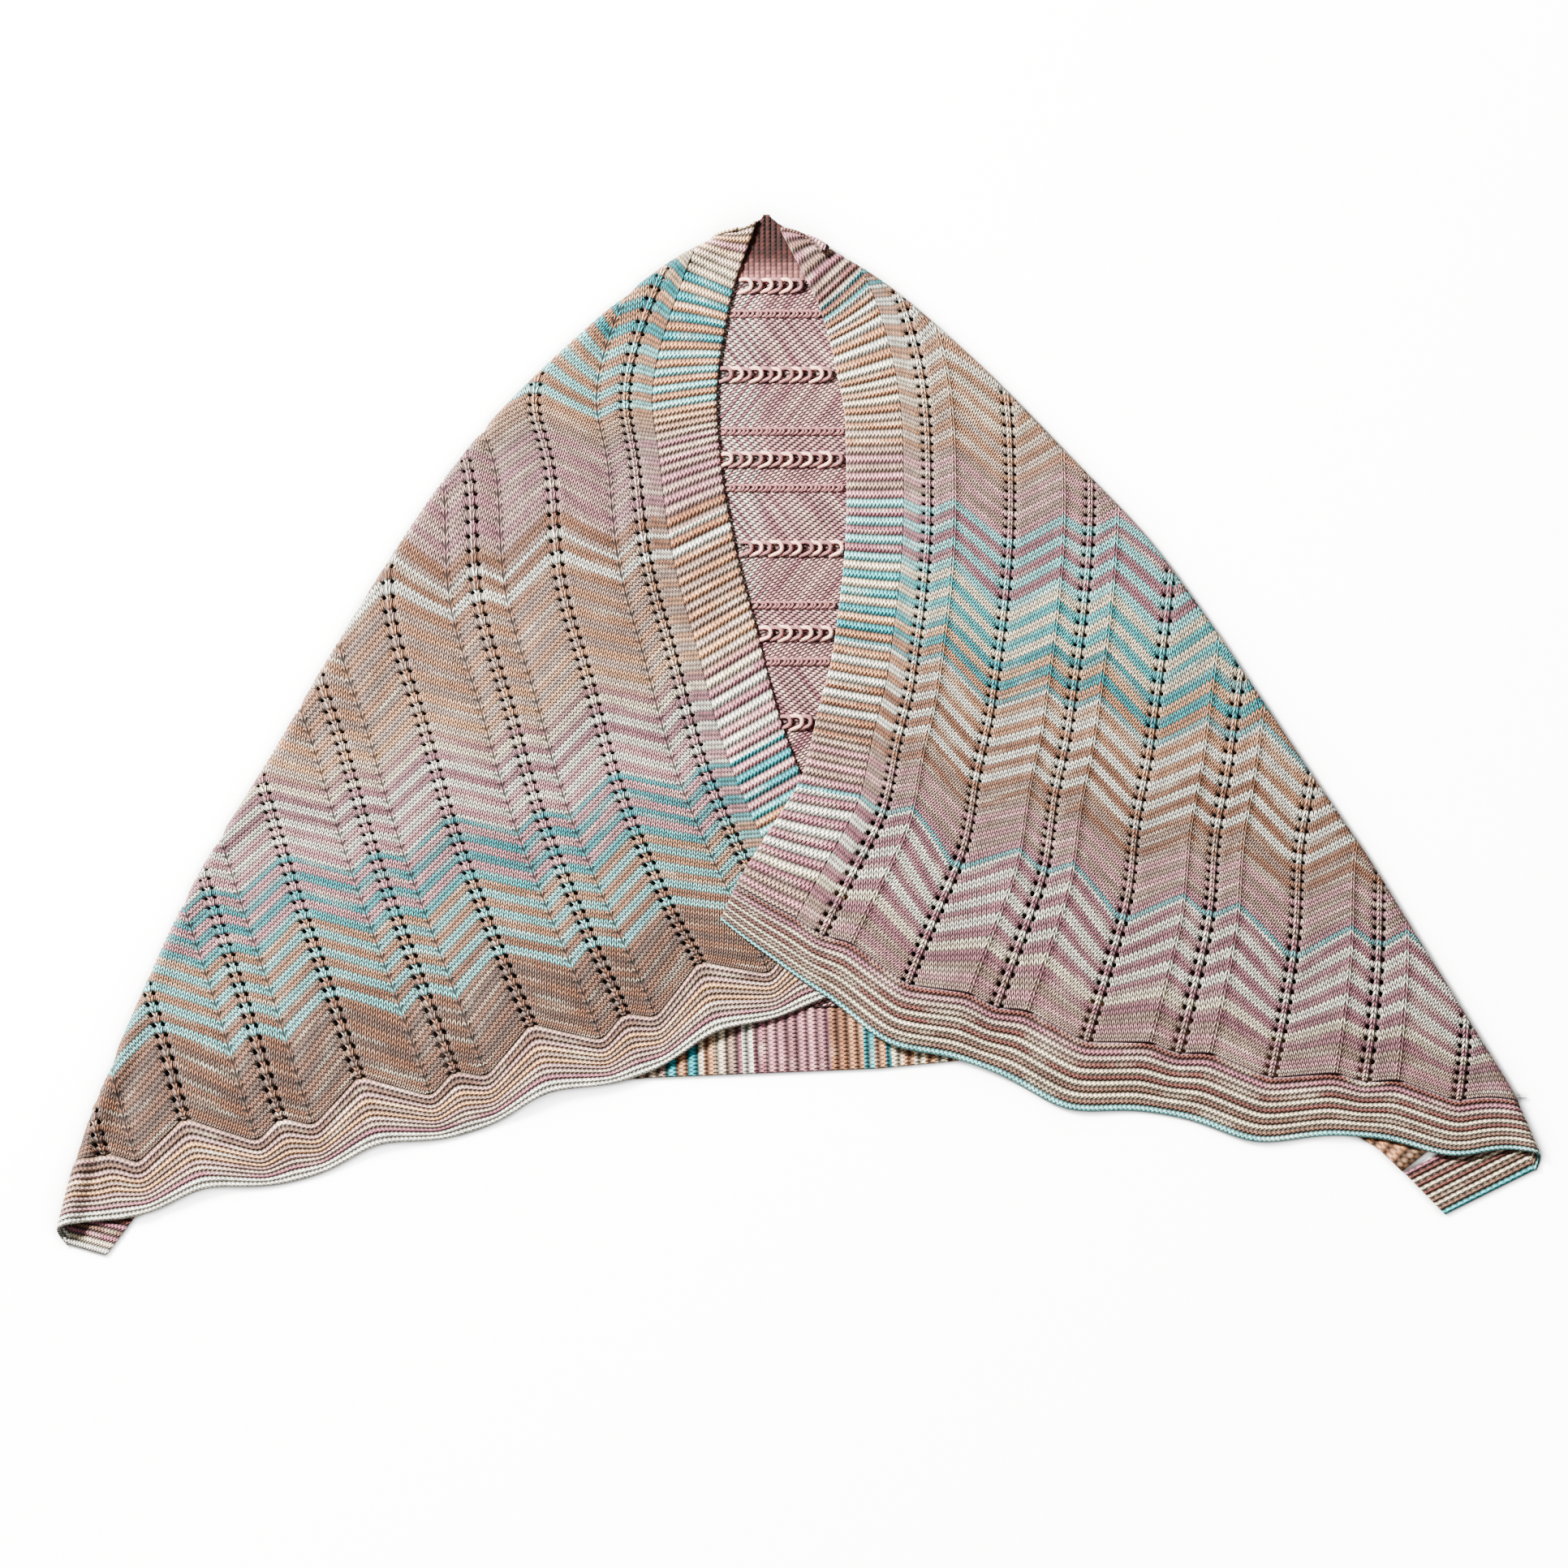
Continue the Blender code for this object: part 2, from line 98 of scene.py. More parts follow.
# Columns: stitch, height in rows of the knitting, of the end band's seam and of the end edge
CHEVRON = np.array([
    (0.0, 3.0, 0.0, 0.0),
    (15.5, -3.0, -3.0, -3.0),
    (22.0, 0.0, 0.0, -2.0),
    (29.0, -7.0, -7.0, -3.0),
    (44.0, 8.0, 8.0, 8.0),
    (58.0, -6.0, -6.0, -5.0),
    (65.0, 0.0, 0.0, -6.0),
    (72.0, -7.0, -7.0, -5.0),
    (87.0, 8.0, 8.0, 8.0),
    (101.0, -6.0, -6.0, -5.0),
    (108.0, 0.0, 0.0, -6.0),
    (115.0, -7.0, -7.0, -5.0),
    (130.0, 8.0, 8.0, 8.0),
    (144.0, -6.0, -6.0, -5.0),
    (151.0, 0.0, 0.0, -6.0),
    (158.0, -7.0, -7.0, -5.0),
    (173.0, 8.0, 8.0, 8.0),
    (187.0, -6.0, -6.0, -5.0),
    (194.0, 0.0, 0.0, -5.0),
    (201.0, -7.0, -7.0, -4.0),
    (217.0, -4.0, -4.0, -4.0),
])
EYELETS = [22.0, 44.0, 65.0, 87.0, 108.0, 130.0, 151.0, 173.0, 194.0]
DECREASES = [29.0, 58.0, 72.0, 101.0, 115.0, 144.0, 158.0, 187.0, 201.0]
REPEAT = 43.0
HOLE_AT, HOLE_FROM, HOLE_TO, HOLE_DRAWN = 1.12, 0.6, 1.65, 0.72

# "steep" is how many rows the chevron climbs for each of its own, and "real" puts counted rows
# at their places in the table of rows.
FRONTS = {
    "left": {"rows": LEFT_ROWS, "rise": 1.0, "out": -1.0, "seam_wave": 2.3, "edge_wave": 1.0,
             "wave_lift": 4.0, "steep": [(0, 0.50), (12, 0.45), (200, 0.45)],
             "real": [(-22, -22), (0, 0), (200, 200)], "top": 164.0, "area": 0.235},
    "right": {"rows": RIGHT_ROWS, "rise": -1.0, "out": 1.0, "seam_wave": 0.9, "edge_wave": 1.1,
              "wave_lift": 3.0,
              "steep": [(0, 0.30), (11, 0.42), (24, 0.58), (43, 0.56), (57, 0.5), (200, 0.5)],
              "real": [(-22, -22), (0, -0.3), (25, 24.7), (61, 63), (93, 95), (125, 124.7),
                       (133, 135), (149, 149), (160, 162)], "top": 160.0, "area": 0.21},
}


def smooth(t):
    t = np.clip(t, 0.0, 1.0)
    return t * t * (3.0 - 2.0 * t)


def bell(distance, width):
    return np.exp(-(distance / width) ** 2)


def read(rows, column, at):
    """One column of a table of rows, read on a smooth curve that never overshoots."""
    keys = np.array([row[0] for row in rows], float)
    vals = np.array([row[column] for row in rows], float)
    step = np.diff(vals) / np.diff(keys)
    slope = np.empty(len(keys))
    slope[0], slope[-1] = step[0], step[-1]
    both = step[:-1] * step[1:]
    total = np.where(both > 0, step[:-1] + step[1:], 1.0)
    slope[1:-1] = np.where(both > 0, 2 * both / total, 0.0)
    i = np.clip(np.searchsorted(keys, at, side="right") - 1, 0, len(keys) - 2)
    span = keys[i + 1] - keys[i]
    t = (at - keys[i]) / span
    inside = ((2 * t**3 - 3 * t**2 + 1) * vals[i] + (t**3 - 2 * t**2 + t) * span * slope[i]
              + (3 * t**2 - 2 * t**3) * vals[i + 1] + (t**3 - t**2) * span * slope[i + 1])
    below = vals[0] + (at - keys[0]) * slope[0]
    above = vals[-1] + (at - keys[-1]) * slope[-1]
    return np.where(at < keys[0], below, np.where(at > keys[-1], above, inside))


def pair(rows, column, at):
    return np.stack([read(rows, column, at), read(rows, column + 1, at)], -1)


def outwards(side, at):
    """The direction in which the fold of a front faces, at some rows."""
    rows = FRONTS[side]["rows"]
    along = pair(rows, FOLD_X, at + 2) - pair(rows, FOLD_X, at - 2)
    along /= np.linalg.norm(along, axis=-1, keepdims=True)
    return np.stack([along[:, 1], -along[:, 0]], -1) * FRONTS[side]["out"]


def chevron(stitch, column):
    return np.interp(stitch, CHEVRON[:, 0], CHEVRON[:, column])


def knitted_chevron(stitch):
    """The chevron of the rows, level across each eyelet column."""
    height = chevron(stitch, 1)
    for column in EYELETS:
        top = 0.5 * (chevron(column - HOLE_TO, 1) + chevron(column + HOLE_TO, 1))
        height = np.where(np.abs(stitch - column) < HOLE_TO + 0.01, top, height)
    return height


def rounded_chevron(stitch, column, blur):
    """The same line with its corners rounded over some stitches."""
    spots = np.linspace(-blur, blur, 9)
    weights = np.cos(spots / blur * math.pi / 2) ** 2
    total = sum(weight * chevron(stitch + spot, column) for spot, weight in zip(spots, weights))
    return total / weights.sum()


def hem_at(x):
    line = [(-640, -419), LEFT_CORNER] + [row[:2] for row in HEM] + [RIGHT_CORNER, (640, -357)]
    return np.interp(x, [p[0] for p in line], [p[1] for p in line])


def collar_rise(y):
    """The band behind the neck stands up a little towards its tip."""
    t = np.clip((y - APEX_FOOT) / (APEX_TIP - APEX_FOOT), 0.0, 1.0)
    return APEX_LIFT * t * t


# Where the left front's neck edge and end edge pass under the right front: a point of each edge,
# and the way that leads off the left front
LEFT_NECK_EDGE = ((-17, 16), (216, 94))
LEFT_END_EDGE = ((-28, -243), (43, -105))
CROSS_RUN, CROSS_FALL = 45.0, 60.0
HEM_RUN, HEM_FALL = 8.0, 18.0


def past_edge(edge, x, y):
    (edge_x, edge_y), (way_x, way_y) = edge
    return ((x - edge_x) * way_x + (y - edge_y) * way_y) / math.hypot(way_x, way_y)


def front_level(side, x, y):
    """How high a front lies: on the back panel, on the surface past the hem, over the left front."""
    level = LEVEL * (1.0 - smooth((hem_at(x) - y - HEM_RUN) / HEM_FALL))
    if side == "right":
        past = np.maximum(past_edge(LEFT_NECK_EDGE, x, y), past_edge(LEFT_END_EDGE, x, y))
        level = level + CROSS_LIFT * (1.0 - smooth((past - CROSS_RUN) / CROSS_FALL))
    return level + collar_rise(y)


def lay_front(side, stitch, count, wall, relief):
    """Where points of a front lie, and how far past the turn of the fold each of them is."""
    front = FRONTS[side]
    rows = front["rows"]
    real = np.interp(count, *zip(*front["real"]))
    grown = np.clip(count / 12.0, 0.0, 1.0)
    steep = np.interp(count, *zip(*front["steep"]))
    row = real + front["rise"] * grown * steep * knitted_chevron(stitch)
    row = np.minimum(row, rows[-1][0] + 1.5)
    neck, edge, out = pair(rows, NECK_X, row), pair(rows, FOLD_X, row), outwards(side, row)
    radius = read(rows, RADIUS, row)
    last = np.maximum(read(rows, STITCHES, row), 1.0)
    turn = edge - out * radius[:, None]
    run = turn - neck
    down = np.stack([-run[:, 1], run[:, 0]], -1)
    down /= np.linalg.norm(down, axis=-1, keepdims=True)
    down *= np.where(down[:, 1:] > 0, -1.0, 1.0)
    s = stitch / last
    t = np.clip(s, 0.0, 1.0)
    bow = 3 * t * (1 - t) * (read(rows, BOW_NECK, row) * (1 - t) + read(rows, BOW_FOLD, row) * t)
    share = np.clip(-count / BAND_ROWS, 0.0, 1.0)
    seam = rounded_chevron(stitch, 2, 3.0)
    edge_line = rounded_chevron(stitch, 3, 9.0)
    wave = (1 - share) * front["seam_wave"] * seam + share * front["edge_wave"] * edge_line
    wave = wave * (1.0 - grown) * np.clip((last - stitch) / 12.0, 0.0, 1.0)
    flat = neck + run * s[:, None] + down * (bow - front["rise"] * wave)[:, None]
    beyond = np.einsum("ij,ij->i", flat - turn, out)
    rise = collar_rise(turn[:, 1])
    rounded = 1.0 - smooth(-beyond / FOLD_BLEND)
    relief = relief - np.maximum(relief - 1.2, 0.0) * rounded
    level = front_level(side, flat[:, 0], flat[:, 1])
    swell = (edge_line + 7.0) / 15.0 * share * smooth((stitch - 22.0) / 22.0)
    level = level + front["wave_lift"] * swell * (1.0 - rounded)
    flat_z = level + (np.maximum(level, 2 * radius + rise - wall) - level) * rounded + wall + relief
    angle = np.clip(beyond / radius, 0.0, math.pi)
    under = np.maximum(beyond - math.pi * radius, 0.0)
    reach = radius + relief * np.clip(1.0 - under / 2.0, 0.0, 1.0)
    turned = flat + out * (np.sin(angle) * reach - np.maximum(beyond, 0.0) - under)[:, None]
    turned_z = np.maximum(radius + rise + np.cos(angle) * reach, 0.3)
    past = beyond > 0
    xy = np.where(past[:, None], turned, flat)
    z = np.where(past, turned_z, flat_z)
    gone = np.where(stitch > last + 9.0, 99.0, beyond - math.pi * radius)
    return np.column_stack([xy, z]), gone


# How many stitches each mark of the chevron lies from its decrease
FROM_DECREASE = np.array([0, 15.5, 7, 0, 15, 0, 7, 0, 15, 0, 7, 0, 15, 0, 7, 0, 15, 0, 7, 0, 16], float)


def make_sheet(name, across, along, lay, material, wall, holes=None, flip=False):
    """A knitted sheet: a grid in stitches and rows, laid in place and given its thickness."""
    bm = bmesh.new()
    bmesh.ops.create_grid(bm, x_segments=len(across) - 1, y_segments=len(along) - 1, size=1.0)
    bm.verts.ensure_lookup_table()
    grid = np.array([(v.co.x, v.co.y) for v in bm.verts])
    i = np.rint((grid[:, 0] + 1) / 2 * (len(across) - 1)).astype(int)
    j = np.rint((grid[:, 1] + 1) / 2 * (len(along) - 1)).astype(int)
    stitch, row = np.asarray(across, float)[i], np.asarray(along, float)[j]
    place, past = lay(stitch, row)
    gone = []
    for face in bm.faces:
        index = [v.index for v in face.verts]
        if past is not None and past[index].min() > 3.0:
            gone.append(face)
        elif holes is not None and holes(stitch[index].mean(), row[index].mean()):
            gone.append(face)
    cloth = bm.verts.layers.float_vector.new("cloth")
    away = np.interp(stitch, CHEVRON[:, 0], FROM_DECREASE)
    for v in bm.verts:
        v[cloth] = (stitch[v.index], row[v.index], away[v.index])
        v.co = place[v.index] * MM
    bmesh.ops.delete(bm, geom=gone, context="FACES")
    if flip:
        bmesh.ops.reverse_faces(bm, faces=bm.faces)
    mesh = bpy.data.meshes.new(name)
    bm.to_mesh(mesh)
    bm.free()
    mesh.shade_smooth()
    mesh.materials.append(material)
    obj = bpy.data.objects.new(name, mesh)
    bpy.context.scene.collection.objects.link(obj)
    solid = obj.modifiers.new("wall", "SOLIDIFY")
    solid.thickness = wall * MM
    solid.offset = -1.0
    return obj


# Wool colours as they look in daylight, and the order in which each of the two wools changes
# colour along the rows of a front
WOOL = {
    "turquoise": (90, 187, 192),
    "sea": (124, 201, 204),
    "pale": (176, 220, 220),
    "white": (247, 229, 222),
    "cream": (240, 222, 206),
    "light greige": (214, 200, 190),
    "greige": (194, 176, 166),
    "brown grey": (166, 144, 132),
    "pink greige": (206, 184, 180),
    "pink": (214, 180, 184),
    "mauve": (190, 154, 162),
    "pink mauve": (199, 165, 171),
    "tan": (205, 174, 149),
    "light tan": (220, 193, 166),
    "tan brown": (186, 153, 130),
    "peach": (218, 187, 160),
    "brown mauve": (160, 124, 116),
}
YARNS = {
    "right": {
        "first": 0.0,
        "p": [(-2, "pink greige"), (2, "greige"), (6, "greige"), (8.5, "cream"), (12, "white"),
              (24.99, "white"), (25.01, "turquoise"), (26.5, "turquoise"), (27, "greige"),
              (42, "greige"), (44, "white"), (60.99, "white"), (61.01, "turquoise"),
              (70, "turquoise"), (72, "sea"), (78, "sea"), (80, "pale"), (94, "pale"),
              (96, "greige"), (106, "greige"), (108.5, "light greige"), (114, "light greige"),
              (118, "cream"), (130, "white"), (140.99, "white"), (141.01, "turquoise"),
              (143.99, "brown mauve"), (144.01, "turquoise"), (144.99, "turquoise"),
              (145.01, "greige"), (164, "brown mauve")],
        "q": [(-2, "pink mauve"), (3, "pink"), (5.5, "mauve"), (24, "mauve"), (27, "pink mauve"),
              (30, "pink"), (36, "pink"), (38.5, "tan brown"), (52, "tan brown"), (55, "tan"),
              (64, "tan"), (67, "light tan"), (70, "cream"), (80, "cream"), (82, "mauve"),
              (92, "mauve"), (94.5, "pink"), (104, "pink"), (107, "tan"), (138, "tan"),
              (140, "tan brown"), (146, "brown mauve"), (152, "mauve"), (164, "pink mauve")],
    },
    "left": {
        "first": -1.0,
        "p": [(-2, "brown grey"), (13, "brown grey"), (14.9, "brown grey"), (15, "pale"),
              (30, "pale"), (31.2, "sea"), (34, "sea"), (35.2, "turquoise"), (43.99, "turquoise"),
              (44.01, "white"), (57, "white"), (60, "cream"), (65, "light greige"), (72, "greige"),
              (85, "greige"), (86.9, "white"), (89, "white"), (90.99, "greige"),
              (91.01, "white"), (91.99, "white"), (92.01, "greige"), (96, "pink greige"),
              (112, "greige"), (118.9, "light tan"), (119.01, "pale"), (134, "pale"),
              (135.2, "turquoise"), (150.99, "turquoise"), (151.01, "cream"),
              (160, "light tan"), (166, "cream")],
        "q": [(-2, "tan brown"), (18, "tan brown"), (22, "tan"), (31, "tan"), (33.2, "pink"),
              (51, "pink"), (53, "mauve"), (61.5, "pink mauve"), (64, "light tan"), (70, "peach"),
              (74, "tan"), (84, "tan"), (88, "tan brown"), (95, "tan brown"), (97, "pink mauve"),
              (110, "pink mauve"), (112, "greige"), (117, "tan"), (141, "tan"),
              (143, "light tan"), (152, "cream"), (158, "pink"), (166, "cream")],
    },
}


def dyed(colour):
    """A colour as the shaders take it, deeper than the lit wool looks."""
    return tuple(min(0.97, 1.6 * (c / 255.0) ** 5.0) for c in colour) + (1.0,)


class Wiring:
    """Short ways to add and join the shader nodes of one wool."""

    def __init__(self, name):
        self.material = bpy.data.materials.new(name)
        self.material.use_nodes = True
        self.nodes = self.material.node_tree.nodes
        self.links = self.material.node_tree.links
        self.shader = self.nodes["Principled BSDF"]

    def put(self, socket, value):
        if isinstance(value, bpy.types.NodeSocket):
            self.links.new(value, socket)
        else:
            socket.default_value = value

    def maths(self, operation, *values):
        node = self.nodes.new("ShaderNodeMath")
        node.operation = operation
        for socket, value in zip(node.inputs, values):
            self.put(socket, value)
        return node.outputs[0]

    def plus(self, a, b):
        return self.maths("ADD", a, b)

    def minus(self, a, b):
        return self.maths("SUBTRACT", a, b)

    def times(self, a, b):
        return self.maths("MULTIPLY", a, b)

    def power(self, a, b):
        return self.maths("POWER", a, b)

    def line(self, value, factor, start):
        """A straight line of a value: factor times it, plus a start."""
        return self.maths("MULTIPLY_ADD", value, factor, start)

    def clipped(self, value):
        return self.maths("MINIMUM", self.maths("MAXIMUM", value, 0.0), 1.0)

    def fraction(self, value):
        return self.maths("FRACT", value)

    def floor(self, value):
        return self.maths("FLOOR", value)

    def from_half(self, value):
        """How far a value is from the middle of its unit step."""
        return self.maths("ABSOLUTE", self.minus(self.fraction(value), 0.5))

    def hump(self, value):
        """From 0 at each end of a unit step to 1 in its middle."""
        f = self.fraction(value)
        return self.times(self.times(f, self.minus(1.0, f)), 4.0)

    def blend(self, factor, a, b, how="MIX"):
        node = self.nodes.new("ShaderNodeMix")
        node.data_type = "RGBA"
        node.blend_type = how
        self.put(node.inputs[0], factor)
        self.put(node.inputs[6], a)
        self.put(node.inputs[7], b)
        return node.outputs[2]

    def shaded(self, colour, tone):
        return self.blend(1.0, colour, self.join(tone, tone, tone), "MULTIPLY")

    def ramp(self, value, stops, low, high, steps=False):
        node = self.nodes.new("ShaderNodeValToRGB")
        node.color_ramp.interpolation = "CONSTANT" if steps else "LINEAR"
        elements = node.color_ramp.elements
        while len(elements) < len(stops):
            elements.new(0.5)
        for element, (at, name) in zip(elements, stops):
            element.position = (at - low) / (high - low)
            element.color = dyed(WOOL[name])
        self.put(node.inputs[0], self.line(value, 1.0 / (high - low), -low / (high - low)))
        return node.outputs[0]

    def join(self, x, y, z=0.0):
        node = self.nodes.new("ShaderNodeCombineXYZ")
        for socket, value in zip(node.inputs, (x, y, z)):
            self.put(socket, value)
        return node.outputs[0]

    def split(self, vector):
        node = self.nodes.new("ShaderNodeSeparateXYZ")
        self.put(node.inputs[0], vector)
        return node.outputs

    def place(self):
        return self.nodes.new("ShaderNodeTexCoord").outputs["Object"]

    def speckle(self, where):
        node = self.nodes.new("ShaderNodeTexWhiteNoise")
        self.put(node.inputs["Vector"], where)
        return node.outputs["Value"]

    def cloud(self, where, scale=1.0, detail=2.0):
        node = self.nodes.new("ShaderNodeTexNoise")
        self.put(node.inputs["Vector"], where)
        node.inputs["Scale"].default_value = scale
        node.inputs["Detail"].default_value = detail
        return node.outputs["Fac"]

    def cloth(self):
        """Stitch, row and stitches from the nearest decrease, as kept on the sheet."""
        node = self.nodes.new("ShaderNodeAttribute")
        node.attribute_name = "cloth"
        return self.split(node.outputs["Vector"])

    def from_columns(self, stitch):
        """How many stitches away the nearest eyelet column is."""
        near = [self.times(self.from_half(self.line(stitch, 1.0 / REPEAT, -start / REPEAT)), REPEAT)
                for start in EYELETS[:2]]
        far = self.maths("MAXIMUM", near[0], near[1])
        return self.minus(REPEAT / 2.0, far)

    def marled(self, colour, whole, stitch):
        """Streaks along each row, paler and deeper, and flecks from stitch to stitch."""
        streak = self.cloud(self.join(self.times(stitch, 0.07), self.times(whole, 0.9)), 1.0, 3.0)
        light = self.clipped(self.line(streak, 4.5, -2.385))
        colour = self.blend(self.times(light, 0.5), colour, dyed((244, 226, 212)))
        second = self.join(self.times(stitch, 0.05), self.times(whole, 1.7), 7.0)
        deep = self.clipped(self.line(self.cloud(second), 4.5, -2.43))
        colour = self.blend(self.times(deep, 0.45), colour, dyed((146, 118, 108)))
        fleck = self.speckle(self.join(self.floor(self.times(stitch, 2.0)), whole))
        return self.shaded(colour, self.times(self.line(streak, 1.2, 0.4), self.line(fleck, 0.56, 0.72)))

    def two_wools(self, side, row, stitch):
        """Two rows of each wool in turn, its colour changing slowly."""
        yarns = YARNS[side]
        whole = self.plus(self.floor(row), 0.5)
        p = self.ramp(whole, yarns["p"], -2.0, 166.0)
        q = self.ramp(whole, yarns["q"], -2.0, 166.0)
        turn = self.fraction(self.line(whole, 0.25, -yarns["first"] / 4.0))
        return self.marled(self.blend(self.maths("GREATER_THAN", turn, 0.5), p, q), whole, stitch)

    def paint_shade_and_finish(self, colour, height, sharp, depth):
        """Painted shade between the strands, deeper where they lie low, their bump, and dull soft wool."""
        colour = self.shaded(colour, self.line(self.power(height, sharp), 0.98, 0.02))
        bump = self.nodes.new("ShaderNodeBump")
        bump.inputs["Strength"].default_value = 1.0
        bump.inputs["Distance"].default_value = depth * MM
        self.put(bump.inputs["Height"], height)
        self.put(self.shader.inputs["Normal"], bump.outputs[0])
        self.put(self.shader.inputs["Base Color"], colour)
        self.shader.inputs["Roughness"].default_value = 0.95
        self.shader.inputs["Specular IOR Level"].default_value = 0.12
        self.shader.inputs["Sheen Weight"].default_value = 0.08
        self.shader.inputs["Sheen Roughness"].default_value = 0.6
        return self.material


def front_wool(side):
    """Stitches that lean towards the decreases, each a V of two strands, with chains between the holes."""
    w = Wiring(side + "_front_knit")
    stitch, row, away = w.cloth()
    lean, slant = (0.5, -1.5) if side == "left" else (-0.5, 1.5)
    leaning = w.from_half(w.plus(away, w.times(row, lean)))
    column = w.from_columns(stitch)
    near = w.maths("MINIMUM", column, away)
    chained = w.maths("LESS_THAN", near, 0.75)
    across = w.plus(leaning, w.times(chained, w.minus(w.times(near, 0.667), leaning)))
    level = w.plus(row, w.line(across, slant, -slant / 4.0))
    leg = w.power(w.hump(w.times(across, 2.0)), 0.85)
    height = w.times(leg, w.line(w.hump(level), 0.8, 0.2))
    # Painted shade: the height drops round the holes and in lumps along the decreases, and the colour darkens
    # with it.
    hole_rim_shade = w.clipped(w.line(w.maths("ABSOLUTE", w.minus(column, 0.95)), 3.0, 0.4))
    narrow, least, deep = (0.55, 0.15, 2.5) if side == "left" else (0.8, 0.55, 1.0)
    drawn = w.clipped(w.line(away, narrow, least))
    pucker_and_shade = w.clipped(w.plus(drawn, w.power(w.hump(w.times(row, 0.5)), deep)))
    height = w.times(w.times(height, hole_rim_shade), pucker_and_shade)
    return w.paint_shade_and_finish(w.two_wools(side, level, stitch), height, 2.1, 2.0)


def eyelet_lines(low, high):
    """Where the grid of a front has lines: one a stitch, and closer ones round the holes."""
    lines = set(np.arange(math.ceil(low), high + 0.01, 1.0)) | {low}
    for column in EYELETS:
        lines -= {column + step for step in (-2.0, -1.0, 1.0, 2.0)}
        lines |= {column + way * step for way in (-1.0, 1.0) for step in (HOLE_FROM, HOLE_AT, HOLE_TO, 2.6)}
    return np.array(sorted(x for x in lines if low <= x <= high))


def front_relief(side, stitch, row):
    """Raised chains, sunk holes, drawn-in decreases, and soft waves where the cloth isn't pulled flat."""
    loose = smooth(row / 12.0) * smooth((stitch - BAND) / 8.0)
    lift = 1.0 + 1.6 * loose
    pulse = 0.5 + 0.5 * np.cos(math.pi * row)
    for column in EYELETS:
        off = np.abs(stitch - column)
        lift += np.where(off < 0.3, 0.9 + 0.5 * pulse, 0.0)
        lift -= np.where((off > 0.3) & (off < 2.0), 0.5, 0.0)
    for column in DECREASES:
        off = stitch - column
        if side == "left":
            lift -= 1.2 * bell(off, 1.4) + 2.0 * bell(off, 4.2)
        else:
            lift += 1.7 * bell(off + 0.2, 1.0) - 0.7 * bell(off - 1.8, 1.3) + 1.2 * bell(off + 2.0, 4.0)
    lift += loose * 0.9 * np.sin(row / 7.5 + stitch / 13.0 + 0.6)
    lift += loose * 0.8 * np.sin(row / 4.6 - stitch / 17.0 + 2.0)
    return np.maximum(lift, -0.7)


def eyelet(stitch, row):
    """Is this place a hole? There is one on each side of a chain on every other row."""
    beside = any(HOLE_FROM < abs(stitch - column) < HOLE_TO for column in EYELETS)
    return beside and int(math.floor(row)) % 2 == 0


def make_front(side):
    def lay(stitch, row):
        middle = np.zeros_like(stitch)
        for column in EYELETS:
            for way in (-HOLE_AT, HOLE_AT):
                middle = np.where(np.abs(stitch - column - way) < 0.7, column + way, middle)
        corner = (middle > 0) & (np.abs(row - np.rint(row)) < 0.01)
        even = np.abs(np.mod(np.rint(row), 2.0)) < 0.01
        shut = np.where(row > 30, 0.16, 0.02) + np.where(np.abs(stitch - middle) > 0.1, 0.12, 0.0)
        shift = np.where(corner, np.where(even, shut, -shut), 0.0)
        narrow = np.where(corner, middle + (stitch - middle) * HOLE_DRAWN, stitch)
        return lay_front(side, narrow, row + shift, KNIT, front_relief(side, stitch, row))

    along = np.arange(0.0, FRONTS[side]["top"] + 0.6, 0.5)
    obj = make_sheet(side + "_front_sheet", eyelet_lines(BAND, CAST), along, lay, front_wool(side), KNIT,
                     holes=eyelet, flip=side == "left")
    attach(obj, "root")
    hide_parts(side + "_front")


for side in ("left", "right"):
    make_front(side)

# Neck bands: sixteen stitches of garter knitted with each front, in the same rows and wools.
# Every two rows make one thick ridge of locked loops, and the band ends in a smooth chained edge.
GARTER, RIDGE = 2.6, 0.8


def garter_relief(stitch, row):
    ridge = 1.0 - np.abs(np.mod(row, 2.0) - 1.0) ** 2
    return RIDGE * ridge + 0.12 * np.cos(2 * math.pi * stitch) * ridge - 0.9 * np.exp(-stitch / 0.5)


def garter_height(w, stitch, ridges):
    """Loops of a ridge, in two locked lines, and low dots between one ridge and the next, made dark by
    painted shade.
    """
    upper = w.maths("GREATER_THAN", w.fraction(ridges), 0.5)
    bead = w.hump(w.plus(stitch, w.times(upper, 0.5)))
    ridge = w.times(w.power(w.hump(ridges), 0.9), w.line(bead, 0.55, 0.45))
    bridge = w.times(w.power(w.hump(w.plus(stitch, 0.5)), 1.5), 0.42)
    return w.maths("MAXIMUM", ridge, bridge)


def make_neck_band(side):
    first = YARNS[side]["first"]
    w = Wiring(side + "_neck_garter")
    stitch, row, _ = w.cloth()
    height = garter_height(w, stitch, w.line(row, 0.5, -first / 2.0))
    wool = w.paint_shade_and_finish(w.two_wools(side, row, stitch), height, 2.2, 2.0)

    def lay(stitch, row):
        return lay_front(side, stitch, row, GARTER, garter_relief(stitch, row - first))

    across = np.concatenate([np.arange(0.0, BAND, 0.5), [BAND]])
    along = np.arange(0.0, FRONTS[side]["top"] + 0.6, 0.5)
    obj = make_sheet(side + "_neck_band_sheet", across, along, lay, wool, GARTER, flip=side == "left")
    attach(obj, "root")
    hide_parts(side + "_neck_band_lower", side + "_neck_band_upper")


for side in ("left", "right"):
    make_neck_band(side)

